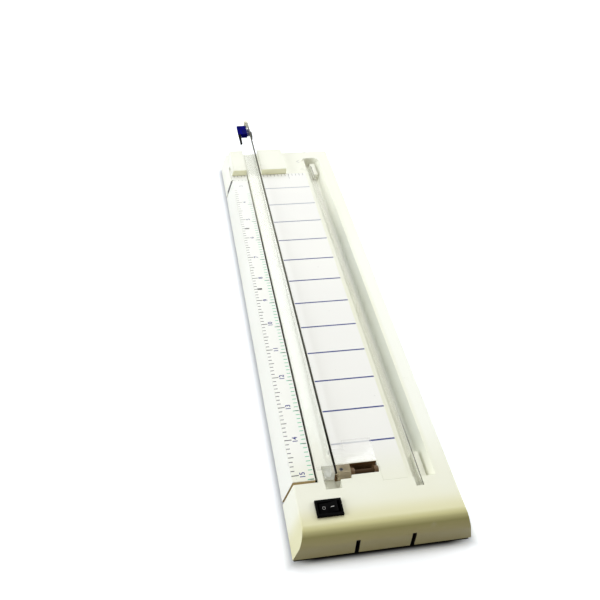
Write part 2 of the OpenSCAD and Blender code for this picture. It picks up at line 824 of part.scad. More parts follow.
module clip_screws() {
    color("silver") for (y = clip_spots) {
        bar_along_x(clip_x, clip_end, y, track_z + track_h / 2, 0.8 - 2 * pin_run);
        bar_along_x(clip_end, clip_end + 0.35, y, track_z + track_h / 2, 1.8);
    }
}

// Light groove

module light_bar() {
    color("azure", 0.5) block([bar_x, bar_y, groove_z], [bar_end, bar_back, z_bed - 0.1]);
}

module bar_holder_near() {
    x1 = groove_end - slope_w - fit;
    color("beige") block([bar_end, groove_y + fit, groove_z], [x1, groove_y + holder_near, groove_z + 4.5]);
}

module bar_holder_far() {
    x1 = groove_end - slope_w - fit;
    color("beige") block([bar_end, groove_back - holder_far, groove_z],
        [x1, groove_back - groove_r, groove_z + 5.5]);
}

module led_board() {
    z0 = lamp_z + 2 - board_h;
    color("green") block([lamp_x - board_w / 2, board_y - board_t, z0],
        [lamp_x + board_w / 2, board_y, z0 + board_h]);
}

module led() {
    tip = bar_y - 0.5 - led_d / 2;
    color("white") {
        bar_along_y(lamp_x, board_y, tip, lamp_z, led_d);
        translate([lamp_x, tip, lamp_z]) sphere(d = led_d);
    }
}

// Switch

module switch_housing() {
    hole_w = rocker_r + 0.35;
    hole_l = rocker_l / 2 + fit;
    color("black") difference() {
        union() {
            block([switch_x - switch_w / 2, switch_y - switch_l / 2, z_bed],
                [switch_x + switch_w / 2, switch_y + switch_l / 2, z_bed + bezel_h]);
            block([switch_x - body_w / 2, switch_y - body_l / 2, z_bed - switch_depth],
                [switch_x + body_w / 2, switch_y + body_l / 2, z_bed + past]);
        }
        block([switch_x - hole_w, switch_y - hole_l, rock_z - 5],
            [switch_x + hole_w, switch_y + hole_l, z_bed + 3]);
        bar_along_y(switch_x, switch_y - hole_l - trunnion_l, switch_y + hole_l + trunnion_l, rock_z,
            trunnion_d + 2 * pin_run);
    }
}

// Rocker, stored with its O side pressed
module switch_rocker() {
    rise = 2.9;
    half = sqrt(rocker_r * rocker_r - rise * rise);
    color("black") translate([switch_x, switch_y, rock_z]) rotate([0, -rocker_tilt, 0]) union() {
        translate([0, rocker_l / 2, 0]) rotate([90, 0, 0]) linear_extrude(rocker_l) polygon([
            [-half, -0.6], [-half, rise], [0, rise - 0.5], [half, rise], [half, -0.6], [1.6, -3],
                [-1.6, -3]]);
        bar_along_y(0, -rocker_l / 2 - fit - trunnion_l + 0.1, rocker_l / 2 + fit + trunnion_l - 0.1, 0,
            trunnion_d);
    }
}

module switch_terminals() {
    z1 = z_bed - switch_depth;
    color("goldenrod") for (x = [switch_x - 3.8, switch_x + 3.8])
        block([x - 0.4, switch_y - 1.6, z1 - 2.6], [x + 0.4, switch_y + 1.6, z1]);
}

// Battery

function cell_x(i) = tray_x + tray_t + (i + 0.5) * cell_pitch;

module battery_holder() {
    color("dimgray") difference() {
        block([tray_x, tray_y, z_cover], [tray_x + tray_w, tray_y + tray_l, tray_top]);
        block([tray_x + tray_t, tray_y + tray_t, z_edge],
            [tray_x + tray_w - tray_t, tray_y + tray_l - tray_t, tray_top - tray_t]);
    }
}

module battery_cells() {
    y0 = tray_y + tray_t + contact_t;
    color("olivedrab") for (i = [0 : cell_count - 1]) {
        flip = i % 2;
        bar_along_y(cell_x(i), y0 + (flip ? 0 : 0.8), y0 + cell_l - (flip ? 0.8 : 0), cell_z, cell_d);
        bar_along_y(cell_x(i), y0, y0 + cell_l, cell_z, 3.8);
    }
}

module battery_contacts() {
    y0 = tray_y + tray_t;
    y1 = tray_y + tray_l - tray_t;
    color("silver") for (i = [0 : cell_count - 1]) {
        low = [cell_x(i) - contact_half, cell_z - contact_half];
        high = [cell_x(i) + contact_half, cell_z + contact_half];
        block([low[0], y0, low[1]], [high[0], y0 + contact_t, high[1]]);
        block([low[0], y1 - contact_t, low[1]], [high[0], y1, high[1]]);
        bar_along_y(cell_x(i), y0 + contact_t + cell_l, y1 - contact_t, cell_z, spring_d);
    }
}

module battery_door() {
    x0 = tray_x - door_over;
    y0 = tray_y - door_over;
    y1 = tray_y + tray_l + door_over;
    color("dimgray") difference() {
        block([x0, y0, door_z], [x0 + tray_w + 2 * door_over, y1, door_z + door_t]);
        for (i = [0 : 4]) block([x0 + tray_w / 2 - 6, y0 + 8 + i * 2.4, door_z - past],
            [x0 + tray_w / 2 + 10, y0 + 9.2 + i * 2.4, door_z + door_t / 3]);
    }
}

// Round rod between two points
module rod(from, to, d) {
    step = to - from;
    translate(from) rotate([0, acos(step[2] / norm(step)), atan2(step[1], step[0])])
        cylinder(h = norm(step), d = d, $fn = 24);
}

// Wire through points joined by square turns, with its corners bent to a radius
module wire(points, d, r) {
    last = len(points) - 1;
    way = [for (i = [0 : last - 1]) (points[i + 1] - points[i]) / norm(points[i + 1] - points[i])];
    for (i = [0 : last - 1])
        rod(points[i] + (i > 0 ? r : 0) * way[i], points[i + 1] - (i < last - 1 ? r : 0) * way[i], d);
    for (i = [1 : last - 1]) {
        into = way[i - 1];
        out = way[i];
        turn = cross(into, out);
        centre = points[i] - r * into + r * out;
        multmatrix([
            [-out[0], into[0], turn[0], centre[0]], [-out[1], into[1], turn[1], centre[1]],
            [-out[2], into[2], turn[2], centre[2]], [0, 0, 0, 1]])
            rotate_extrude(angle = 90, $fn = 48) translate([r, 0]) circle(d = d, $fn = 24);
    }
}

module wiring_loom() {
    d = 1.4;
    r = 1.3;
    low = z_cover + d;
    foot = z_bed - switch_depth - 1.3;
    back = board_y - board_t;
    board_low = lamp_z + 4 - board_h;
    lane = switch_y - body_l / 2 - 3;
    plus = tray_x + 8;
    minus = tray_x + tray_w - 8;
    color("firebrick") {
        wire([[switch_x + 4.2, switch_y, foot], [plus, switch_y, foot], [plus, switch_y, low],
            [plus, tray_y, low]], d, r);
        wire([[switch_x - 3.8, switch_y - 1.6, foot], [switch_x - 3.8, lane, foot],
            [lamp_x - 3, lane, foot], [lamp_x - 3, back, foot]], d, r);
        wire([[minus, tray_y, low], [minus, back - r - d, low], [lamp_x + 1, back - r - d, low],
            [lamp_x + 1, back - r - d, foot], [lamp_x + 1, back, foot]], d, r);
    }
}

base_shell();
bottom_cover();
cover_screws();
rubber_feet();
bed_label();
cutting_strip();
fence_left();
fence_right();
fence_screws();
ruler_arm();
ruler_label();
arm_glide();
arm_pivot_pin();
rail();
rail_edge_strip();
rail_end_cap();
hinge_leaf();
hinge_pin();
hinge_screw();
hinge_cradle();
carriage_body();
blade_holder();
blade();
carriage_clip();
clip_screws();
light_bar();
bar_holder_near();
bar_holder_far();
led_board();
led();
switch_housing();
switch_rocker();
switch_terminals();
battery_holder();
battery_cells();
battery_contacts();
battery_door();
wiring_loom();
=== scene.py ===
import json
from math import cos, radians, sin

import bmesh
import bpy
from mathutils import Matrix, Vector


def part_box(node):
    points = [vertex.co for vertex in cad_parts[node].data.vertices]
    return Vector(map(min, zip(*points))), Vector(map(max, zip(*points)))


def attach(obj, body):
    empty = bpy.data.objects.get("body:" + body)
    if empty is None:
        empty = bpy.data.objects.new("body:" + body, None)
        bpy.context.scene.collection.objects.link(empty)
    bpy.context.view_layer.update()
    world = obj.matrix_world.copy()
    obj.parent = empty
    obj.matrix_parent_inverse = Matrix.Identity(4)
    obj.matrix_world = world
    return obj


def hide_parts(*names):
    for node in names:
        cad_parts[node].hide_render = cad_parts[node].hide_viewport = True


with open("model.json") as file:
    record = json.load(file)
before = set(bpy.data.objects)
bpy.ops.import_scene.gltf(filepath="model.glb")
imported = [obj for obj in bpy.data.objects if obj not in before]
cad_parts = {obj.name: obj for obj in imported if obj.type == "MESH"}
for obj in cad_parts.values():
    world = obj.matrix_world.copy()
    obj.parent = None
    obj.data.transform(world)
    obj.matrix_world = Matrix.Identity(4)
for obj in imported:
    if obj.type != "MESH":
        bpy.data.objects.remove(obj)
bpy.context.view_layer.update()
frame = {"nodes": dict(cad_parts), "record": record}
nodes = frame["nodes"]
behaviour = frame["record"]["behaviour"]
body_of_node = {node: body for body, members in behaviour["bodies"].items() for node in members}
slot_of_node = {part["node"]: part["material_slot"] for part in frame["record"]["subparts"]}
joint_named = {joint["name"]: joint for joint in behaviour["joints"]}
scene = bpy.context.scene
scene.view_settings.view_transform = "Standard"

MM = 0.001
INCH = 0.0254
EIGHTH = INCH / 8

# Boxes of the solids, from which places are measured
base_low, base_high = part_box("base_shell")
arm_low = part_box("ruler_arm")[0]
ruler_low, ruler_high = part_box("ruler_label")
bed_low, bed_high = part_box("bed_label")
fence_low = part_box("fence_left")[0]
rail_low, rail_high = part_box("rail")
leaf_low, leaf_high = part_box("hinge_leaf")
tub_low, tub_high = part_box("hinge_cradle")
bar_low, bar_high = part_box("light_bar")

# The two notches in the front edge: the middle between them, and how far apart they are
NOTCH_MIDDLE = 0.43 * MM
NOTCH_APART = 31.4 * MM


# Shader writing

def ink(red, green, blue):
    """A colour seen as these 0 to 255 values on a screen, as linear light."""
    def light(v):
        v /= 255
        return v / 12.92 if v <= 0.04045 else ((v + 0.055) / 1.055) ** 2.4
    return (light(red), light(green), light(blue), 1)


def dimmed(colour, share):
    """A colour at a share of its brightness."""
    return tuple(share * c for c in colour[:3]) + (1,)


class Value:
    """One socket of a finish, on which sums are written as Python."""

    def __init__(self, finish, socket):
        self.finish, self.socket = finish, socket

    def maths(self, operation, *others):
        terms = dict(enumerate((self, *others)))
        return self.finish.node("ShaderNodeMath", {"operation": operation}, terms)

    def larger(self, other):
        return self.maths("MAXIMUM", other)

    def __add__(self, other):
        return self.maths("ADD", other)

    def __sub__(self, other):
        return self.maths("SUBTRACT", other)

    def __mul__(self, other):
        return self.maths("MULTIPLY", other)

    def __truediv__(self, other):
        return self.maths("DIVIDE", other)

    def __lt__(self, other):
        return self.maths("LESS_THAN", other)

    def __gt__(self, other):
        return self.maths("GREATER_THAN", other)

    def __mod__(self, other):
        return self.maths("FLOORED_MODULO", other)

    def __abs__(self):
        return self.maths("ABSOLUTE")

    def __rsub__(self, other):
        return self.finish.number(other).maths("SUBTRACT", self)

    __radd__, __rmul__ = __add__, __mul__


class Finish:
    """A material, or the world, made node by node."""

    def __init__(self, name, kind="materials"):
        self.material = getattr(bpy.data, kind).new(name)
        self.material.use_nodes = True
        self.tree = self.material.node_tree
        self.tree.nodes.clear()

    def node(self, kind, settings=None, sockets=None, out=0):
        """Any node: its settings first, then the values or links of its sockets."""
        made = self.tree.nodes.new(kind)
        for key, value in (settings or {}).items():
            if key == "stops":
                ramp = made.color_ramp.elements
                while len(ramp) < len(value):
                    ramp.new(0.5)
                for stop, (place, colour) in zip(ramp, value):
                    stop.position, stop.color = place, colour
            else:
                setattr(made, key, value)
        for key, value in (sockets or {}).items():
            if isinstance(value, Value):
                self.tree.links.new(value.socket, made.inputs[key])
            else:
                made.inputs[key].default_value = value
        return Value(self, made.outputs[out]) if made.outputs else None

    def number(self, value):
        return self.node("ShaderNodeMath", {"operation": "ADD"}, {0: value, 1: 0})

    def place(self):
        return self.node("ShaderNodeTexCoord", out="Object")

    def axis(self, name, vector=None):
        return self.node("ShaderNodeSeparateXYZ", None, {0: vector or self.place()}, name)

    def noise(self, scale, detail=2, vector=None):
        """Noise of so many features to a metre, or to a unit of a stretched vector."""
        return self.node("ShaderNodeTexNoise", None, {
            "Vector": vector or self.place(), "Scale": scale, "Detail": detail, "Roughness": 0.5})

    def mix(self, amount, first, second):
        return self.node("ShaderNodeMix", {"data_type": "RGBA"}, {0: amount, 6: first, 7: second}, 2)

    def band(self, value, low, high):
        """0 below low, 1 above high, smooth between."""
        return self.node("ShaderNodeMapRange", {"interpolation_type": "SMOOTHSTEP"}, {
            0: value, 1: low, 2: high, 3: 0, 4: 1})

    def stretched(self, x, y, z):
        return self.node("ShaderNodeMapping", None, {0: self.place(), "Scale": (x, y, z)})

    def relief(self, height, depth, strength=1.0, rounding=0):
        """A bump of some depth, on edges that look rounded where a radius is given."""
        sockets = {"Height": height, "Distance": depth, "Strength": strength}
        if rounding:
            sockets["Normal"] = self.node("ShaderNodeBevel", {"samples": 6}, {"Radius": rounding})
        return self.node("ShaderNodeBump", None, sockets)

    def light_path(self, *kinds):
        """1 for rays of any of these kinds, else 0."""
        first, *rest = [self.node("ShaderNodeLightPath", out=kind) for kind in kinds]
        for ray in rest:
            first = first.larger(ray)
        return first

    def seen(self):
        return self.light_path("Is Camera Ray", "Is Glossy Ray", "Is Transmission Ray")

    def done(self, passed=None, **sockets):
        """Ends a material; passed is the share of light that goes straight through."""
        named = {key.replace("_", " "): value for key, value in sockets.items()}
        surface = self.node("ShaderNodeBsdfPrincipled", None, named)
        if passed:
            open_air = self.node("ShaderNodeBsdfTransparent")
            surface = self.node("ShaderNodeMixShader", None, {0: passed, 1: surface, 2: open_air})
        self.node("ShaderNodeOutputMaterial", None, {"Surface": surface})
        return self.material


# Kinds of finish

def moulded_plastic(name, pale, warm, rough, rounding=0.4 * MM, tints=(), shine=0.35):
    """Spark-eroded moulding: fine grain, slow yellowing, a few rubbed spots, and tints by place, most of
    them painted light and shade.
    """
    f = Finish(name)
    cloud = f.noise(14, 3)
    grain = f.noise(2600)
    rubbed = f.band(f.noise(60, 4), 0.62, 0.75)
    colour = f.mix(f.band(cloud, 0.35, 0.7), pale, warm)
    for amount, tint in tints:
        colour = f.mix(amount(f), colour, tint(f) if callable(tint) else tint)
    return f.done(
        Base_Color=f.mix(rubbed * 0.15, colour, dimmed(pale, 0.94)),
        Roughness=rough + 0.12 * (cloud - 0.5) - 0.08 * rubbed,
        Specular_IOR_Level=shine,
        Normal=f.relief(grain, 0.03 * MM, 0.5, rounding))


def gloss_moulding(name, deep, lit, rough, shine):
    """Polished dark moulding with faint wipe marks."""
    f = Finish(name)
    wipe = f.noise(1, 3, f.stretched(300, 60, 200))
    return f.done(
        Base_Color=f.mix(f.band(wipe, 0.4, 0.7), deep, lit),
        Roughness=rough + 0.12 * wipe,
        Specular_IOR_Level=shine,
        Normal=f.relief(f.noise(1800), 0.02 * MM, 0.3, 0.2 * MM))


def printed_sheet(name, white, tint):
    """Coated label stock: near white, a cool tint that comes and goes, faint fibres and specks."""
    f = Finish(name)
    fibre = f.noise(1, 3, f.stretched(900, 2400, 900))
    wash = f.band(f.noise(9, 3), 0.38, 0.68)
    speck = f.band(f.noise(420, 1), 0.79, 0.82)
    past_near_end = f.band(f.axis("Y"), bed_low.y - 1.5 * MM, bed_low.y + 29.5 * MM)
    colour = f.mix(past_near_end, ink(243, 244, 231), f.mix(wash, white, tint))
    return f.done(
        Base_Color=f.mix(speck * 0.25, colour, ink(150, 150, 160)),
        Roughness=0.34 + 0.1 * fibre,
        Specular_IOR_Level=0.4,
        Normal=f.relief(fibre, 0.01 * MM, 0.3))


def printing_ink(name, colour, thin, fade_mask=None):
    """Screen ink with a slightly uneven coat, paler toward the fence unless another mask is given."""
    f = Finish(name)
    coat = f.band(f.noise(1500, 3), 0.3, 0.75)
    fresh = f.mix(coat * 0.35, colour, thin)
    fading = 0.6 * (fade_mask or far_end)(f)
    return f.done(
        Base_Color=f.mix(fading, fresh, ink(246, 247, 246)),
        Roughness=0.4 + 0.15 * coat,
        Specular_IOR_Level=0.3)


def clear_plastic(name, colour, rough, haze, frosted=None, painted_dark_edge=None, painted_show_through=None):
    """Cast acrylic with smears and fine scratches: a film over what lies behind, brighter at a slant."""
    f = Finish(name)
    smear = f.band(f.noise(1, 4, f.stretched(220, 40, 220)), 0.5, 0.75)
    hair = f.band(f.noise(1, 2, f.stretched(3000, 120, 3000)), 0.7, 0.78)
    shine = 0.1 * f.node("ShaderNodeFresnel", None, {"IOR": 1.47})
    mist = f.number(haze)
    body = f.mix(smear * 0.3, colour, dimmed(colour, 0.9))
    if frosted:
        mist = mist + frosted(f)
    # Painted show-through: a tan tint and haze standing in for the brown tub seen through the clear part.
    if painted_show_through:
        tan = painted_show_through(f)
        mist = mist + 0.28 * tan
        body = f.mix(tan, body, (0.67, 0.58, 0.39, 1))
    # Painted shade: a dark line and haze laid on a clear edge where shade shows.
    if painted_dark_edge:
        edge = painted_dark_edge(f)
        mist = mist + 0.75 * edge
        body = f.mix(edge, body, ink(40, 38, 30))
    film = shine + mist + 0.02 * smear + 0.02 * hair
    unseen = f.light_path("Is Shadow Ray", "Is Diffuse Ray")
    return f.done(
        passed=(1 - film).larger(unseen),
        Base_Color=body,
        Metallic=shine / film,
        Roughness=rough + 0.04 * smear + 0.04 * hair,
        Specular_IOR_Level=0.5,
        Normal=f.relief(smear, 0.01 * MM, 0.05))


def brushed_metal(name, bright, dull, rough):
    """Drawn or turned metal with fine lines along its length."""
    f = Finish(name)
    line = f.noise(1, 3, f.stretched(6000, 300, 3000))
    tarnish = f.band(f.noise(240, 4), 0.45, 0.75)
    return f.done(
        Base_Color=f.mix(tarnish, bright, dull),
        Metallic=1.0,
        Roughness=rough + 0.15 * line + 0.1 * tarnish,
        Normal=f.relief(line, 0.01 * MM, 0.3))


def soft_rubber(name, dark, dusty):
    """Matt rubber with dust in its grain."""
    f = Finish(name)
    dust = f.band(f.noise(500, 4), 0.45, 0.75)
    return f.done(
        Base_Color=f.mix(dust, dark, dusty),
        Roughness=0.75 + 0.15 * dust,
        Specular_IOR_Level=0.25,
        Normal=f.relief(f.noise(3200), 0.04 * MM, 0.5))


def cell_jacket(name):
    """Battery sleeve: a dark body and a pale band, with steel ends."""
    f = Finish(name)
    low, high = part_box("battery_cells")
    along = (f.axis("Y") - low.y) / (high.y - low.y)
    band = f.band(along, 0.66, 0.665)
    end = (along < 0.03) + (along > 0.97)
    jacket = f.mix(band, ink(52, 70, 58), ink(196, 190, 170))
    return f.done(
        Base_Color=f.mix(end, jacket, ink(190, 190, 192)),
        Metallic=0.9 * end,
        Roughness=0.28 + 0.1 * f.noise(300, 3),
        Coat_Weight=0.3)


def lamp_board(name):
    """Bare circuit board: green mask with paler tracks, here and there broken off."""
    f = Finish(name)
    track_gap = 3 * MM
    track_shift = 2 * MM
    track_width = 0.5 * MM
    from_track = abs((f.axis("X") + track_shift) % track_gap - track_gap / 2)
    track = (from_track < track_width / 2) * (f.noise(500, 1) > 0.45)
    return f.done(
        Base_Color=f.mix(track, ink(30, 92, 50), ink(120, 160, 90)),
        Roughness=0.35 + 0.2 * f.noise(900),
        Normal=f.relief(track, 0.03 * MM, 0.5))


def wire_jacket(name):
    """Three insulated leads, told apart by where they run."""
    f = Finish(name)
    low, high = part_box("wiring_loom")
    right = f.axis("X") > low.x + 0.45 * (high.x - low.x)
    near = f.axis("Y") < low.y + 4 * MM
    colour = f.mix(right, ink(168, 30, 26), ink(28, 28, 30))
    return f.done(
        Base_Color=f.mix(near, colour, ink(222, 220, 214)),
        Roughness=0.42 + 0.15 * f.noise(700, 3))


# Places that take a tint: a function gives the tint's strength, from 0 elsewhere to 1 in the place. Most
# of these tints are painted light and shade.

def toward_user(f):
    """How far a face looks back toward the near end."""
    return 0 - f.axis("Y", f.node("ShaderNodeTexCoord", out="Normal"))


def near_end(f):
    """The last stretch of the base before its front edge."""
    return 1 - f.band(f.axis("Y"), base_low.y + 3 * MM, base_low.y + 28 * MM)


def brink(f):
    """Where the base's top begins to roll over into its front."""
    return 1 - f.band(f.axis("Y"), base_low.y + 7.5 * MM, base_low.y + 20 * MM)


def front_face(f):
    """The base's rounded front."""
    return near_end(f) * f.band(toward_user(f), 0.0, 0.06)


def front_painted_shade(f):
    """Painted shade on the front: its colour deepens as it turns down, and clears again at the foot as
    bounce light off the table would make it.
    """
    stops = ((0.0, ink(229, 226, 186)), (0.3, ink(218, 214, 161)),
             (0.7, ink(168, 163, 110)), (1.0, ink(216, 207, 156)))
    return f.node("ShaderNodeValToRGB", {"stops": stops}, {0: toward_user(f)})


def notch_wall_shade(f):
    """The walls of the two notches in the front edge, painted near black as shade."""
    beside = abs(abs(f.axis("X") - NOTCH_MIDDLE) - NOTCH_APART / 2) < 1.2 * MM
    at_front = (f.axis("Y") < base_low.y + 26 * MM) * (f.axis("Z") < base_low.z + 11.4 * MM)
    return 0.96 * beside * at_front


def near_face_shade(f):
    """The arm's near end, in the seam, painted tan as shade."""
    return (f.axis("Y") < arm_low.y + 0.6 * MM) * f.band(toward_user(f), 0.6, 0.9)


def stop_face_light(f):
    """The fence's faces that paper is pushed against, painted lighter and yellower, as bounce light off
    the bed would make them.
    """
    return f.band(toward_user(f), 0.3, 0.8)


def far_seam_shadow(f):
    """The base's side of the seam at the arm's far end, seen beside the fence, painted near black as the
    slit's shadow.
    """
    seam = fence_low.y - 4.4 * MM
    beside = (abs(f.axis("Y") - seam) < 1.5 * MM) * (f.axis("X") < fence_low.x - 0.1 * MM)
    return 0.97 * beside * f.band(f.axis("Z"), base_low.z + 2.5 * MM, base_low.z + 5.5 * MM)


def far_end(f):
    """The far half, more so toward the fence."""
    return f.band(f.axis("Y"), base_high.y - 200 * MM, base_high.y - 40 * MM)


def painted_bright_top(f):
    """Painted light: the rim to the right of the groove and the strip under the rail made brighter, less
    so toward the fence.
    """
    x, y = f.axis("X"), f.axis("Y")
    right = f.band(x, base_high.x - 14.5 * MM, base_high.x - 10.5 * MM)
    rim = right * f.band(y, base_low.y + 26 * MM, base_low.y + 76 * MM)
    below = (x > rail_low.x - 0.65 * MM) * (x < bed_low.x + 0.45 * MM)
    under_rail = below * f.band(y, rail_low.y + 14.6 * MM, rail_low.y + 40.6 * MM)
    on_top = f.axis("Z") > base_high.z - 2.5 * MM
    return rim.larger(under_rail) * on_top * (1 - far_end(f))


def groove_wall_shade(f):
    """The groove's right wall, apart from both its ends, painted grey-green as shade."""
    x, y = f.axis("X"), f.axis("Y")
    wall = f.band(x, bar_high.x - 0.6 * MM, bar_high.x + 3.9 * MM) * (x < bar_high.x + 9.3 * MM)
    inside = wall * (f.axis("Z") < base_high.z - 0.3 * MM)
    past_near = f.band(y, bar_low.y + 10.4 * MM, bar_low.y + 40.4 * MM)
    before_far = 1 - f.band(y, bar_high.y - 118.4 * MM, bar_high.y - 8.4 * MM)
    return 0.85 * inside * past_near * before_far


def pocket_wall(f):
    """The base's wall at the far side of the hinge pocket."""
    x = f.axis("X")
    across = (x > tub_low.x + 0.75 * MM) * (x < tub_high.x + 0.75 * MM)
    wall = abs(f.axis("Y") - (tub_high.y - 1.2 * MM)) < 0.3 * MM
    return wall * across * (f.axis("Z") < base_high.z - 0.2 * MM)


def tub_slot(f):
    """The tub's corner under the rail's tail, in the base's own colour."""
    return (f.axis("X") < tub_low.x + 3.45 * MM) * (f.axis("Y") < tub_low.y + 11.325 * MM)


def strip_tip(f):
    """The last stretch of the edge strip, by the rail's tip."""
    return f.band(f.axis("Y"), rail_high.y - 16 * MM, rail_high.y - 5 * MM)


def strip_painted_light(f):
    """Painted light: the edge strip a paler grey away from the hinge, where it catches more light."""
    y = f.axis("Y")
    past_hinge = f.band(y, rail_low.y + 18.6 * MM, rail_low.y + 50.6 * MM)
    far_half = f.band(y, rail_low.y + 80.6 * MM, rail_low.y + 230.6 * MM)
    return 0.4 * past_hinge + 0.6 * far_half


def pad_end_painted_light(f):
    """The far stretch of the pad in the cut slot, painted pale to lighten the slot's shade there."""
    return f.band(f.axis("Y"), fence_low.y - 116.5 * MM, fence_low.y - 21.5 * MM)


def line_fade_and_painted_veil(f):
    """The bed lines paler toward the fence, and the nearest line left of the hinge's right edge paler as
    painted haze, standing in for the clear wing over it.
    """
    by_hinge = f.axis("Y") < leaf_high.y + 15.1 * MM
    left = 1 - f.band(f.axis("X"), leaf_high.x - 1.05 * MM, leaf_high.x - 0.05 * MM)
    return far_end(f).larger(by_hinge * left)


def rail_tail(f):
    """Frosting at the rail's near end."""
    return 0.3 * (1 - f.band(f.axis("Y"), rail_low.y + 2.6 * MM, rail_low.y + 12.6 * MM))


def knuckle(f):
    """The hinge's knuckle."""
    return 1 - f.band(f.axis("Y"), leaf_low.y + 6.6 * MM, leaf_low.y + 8.6 * MM)


def leaf_frosting(f):
    """Frosting on the hinge's wing, and a little on its knuckle."""
    wing = f.band(f.axis("Y"), leaf_low.y + 11.6 * MM, leaf_low.y + 15.6 * MM)
    return 0.14 * wing + 0.12 * knuckle(f)


def bar_edge_painted_dark(f):
    """Painted shade: the upper right edge of the light bar, painted dark at the bar's ends, where shade
    shows at the clear edge.
    """
    y = f.axis("Y")
    near = 1 - f.band(y, bar_low.y + 30 * MM, bar_low.y + 70 * MM)
    far = f.band(y, bar_high.y - 30 * MM, bar_high.y - 14 * MM)
    edge = (f.axis("X") > bar_high.x - 0.6 * MM) * (f.axis("Z") > bar_high.z - 0.7 * MM)
    return (near + far) * edge


# The finishes

cream = moulded_plastic("cream moulding", ink(247, 248, 239), ink(246, 246, 233), 0.34, tints=(
    # Painted light: the fence faces that look toward the near end, lighter and yellower.
    (stop_face_light, ink(254, 254, 222)),))
base_cream = moulded_plastic("base moulding", ink(246, 247, 237), ink(244, 245, 230), 0.34, tints=(
    # Painted sheen: the base whiter toward the fence.
    (far_end, ink(247, 248, 239)),
    # Painted light: the rim right of the groove and the strip under the rail, near white.
    (painted_bright_top, ink(253, 255, 250)),
    # Painted shade: warmer and darker near the front edge, where the top takes less sheen.
    (near_end, ink(240, 238, 212)),
    # Painted shade: darker where the top rolls over into the front.
    (brink, ink(229, 226, 186)),
    # Painted shade on the rounded front, by how far each face looks toward the near end.
    (front_face, front_painted_shade),
    # Painted shade: the notch walls near black.
    (notch_wall_shade, ink(26, 14, 8)),
    (pocket_wall, ink(124, 92, 58)),
    # Painted shade: the groove's right wall grey-green.
    (groove_wall_shade, ink(206, 210, 204)),
    # Painted shadow: a near black strip where the far seam opens.
    (far_seam_shadow, ink(12, 10, 6))))
white = moulded_plastic("white moulding", ink(246, 247, 243), ink(243, 244, 238), 0.34, tints=(
    # Painted shade: the arm's near end face tan.
    (near_face_shade, ink(214, 188, 140)),))
# The cover's dark grey is a guess, chosen so the cover reads as shade through the front notches.
grey = moulded_plastic("grey underside", ink(74, 72, 68), ink(64, 62, 58), 0.55)
beige = moulded_plastic("beige moulding", ink(240, 238, 220), ink(234, 230, 206), 0.45, 0.2 * MM)
brown = moulded_plastic("brown tub", ink(108, 84, 56), ink(88, 67, 43), 0.5, 0.2 * MM, tints=(
    (tub_slot, ink(238, 238, 226)),))
holder = moulded_plastic("bar holder", ink(242, 243, 232), ink(239, 240, 227), 0.45, 0.2 * MM)
strip_black = moulded_plastic("edge strip", ink(26, 23, 21), ink(38, 34, 30), 0.42, 0.1 * MM, tints=(
    # Painted light: the strip paler away from the hinge.
    (strip_painted_light, ink(106, 105, 98)),
    (strip_tip, ink(196, 196, 190))), shine=0.02)
pad = moulded_plastic("cutting pad", ink(6, 6, 5), ink(12, 11, 10), 0.5, 0.1 * MM, tints=(
    # Painted light: the pad pale at its far stretch, against the slot's shade.
    (pad_end_painted_light, ink(226, 227, 218)),), shine=0.02)
dark_pin = moulded_plastic("dark pin", ink(78, 58, 38), ink(62, 46, 30), 0.6, 0.1 * MM, shine=0.1)
navy = gloss_moulding("navy slider", ink(0, 0, 92), ink(2, 2, 124), 0.45, 0.02)
black = gloss_moulding("black moulding", ink(2, 2, 2), ink(8, 7, 8), 0.36, 0.02)
sheet = printed_sheet("label stock", ink(248, 248, 248), ink(245, 245, 246))
# Painted light: a whiter copy of the label stock for the arm, which catches less light.
arm_sheet_painted_light = printed_sheet("ruler stock", ink(254, 255, 254), ink(251, 252, 252))
# Blue lines: paler toward the fence, and painted haze where the clear wing lies over them.
blue_ink = printing_ink("blue ink", ink(52, 64, 130), ink(86, 94, 152), line_fade_and_painted_veil)
bold_ink = printing_ink("bold ink", ink(10, 10, 14), ink(36, 36, 44))
black_ink = printing_ink("black ink", ink(52, 52, 74), ink(104, 104, 124))
digit_ink = printing_ink("dark blue ink", ink(40, 44, 128), ink(84, 88, 156))
green_ink = printing_ink("green ink", ink(104, 204, 162), ink(158, 226, 198))
white_ink = printing_ink("white ink", ink(206, 206, 206), ink(170, 170, 170))
clear = clear_plastic("clear acrylic", (0.93, 0.935, 0.93, 1), 0.06, 0.07, painted_dark_edge=bar_edge_painted_dark)
rail_clear = clear_plastic("clear rail", (0.78, 0.8, 0.77, 1), 0.12, 0.035, rail_tail)
# The knuckle's tan is painted: it stands in for the brown tub seen through it.
leaf_clear = clear_plastic("clear hinge", (0.93, 0.93, 0.95, 1), 0.1, 0.015, leaf_frosting, painted_show_through=knuckle)
lens_clear = clear_plastic("lamp lens", (0.9, 0.9, 0.86, 1), 0.15, 0.6)
steel = brushed_metal("bright steel", (0.62, 0.63, 0.65, 1), (0.45, 0.45, 0.46, 1), 0.22)
dark_steel = brushed_metal("blackened steel", (0.05, 0.05, 0.052, 1), (0.09, 0.088, 0.085, 1), 0.34)
brass = brushed_metal("brass", (0.78, 0.58, 0.25, 1), (0.55, 0.4, 0.18, 1), 0.25)
rubber = soft_rubber("rubber", ink(34, 34, 35), ink(70, 68, 66))
finish_of_slot = {
    "cream": cream, "white": white, "grey": grey, "beige": beige, "brown": brown, "navy": navy,
    "black": black, "sheet": sheet, "clear": clear, "lamp": lens_clear, "steel": steel,
    "dark_steel": dark_steel, "brass": brass, "rubber": rubber, "board": lamp_board("lamp board"),
    "cell": cell_jacket("cell jacket"), "wire": wire_jacket("wire jacket")}

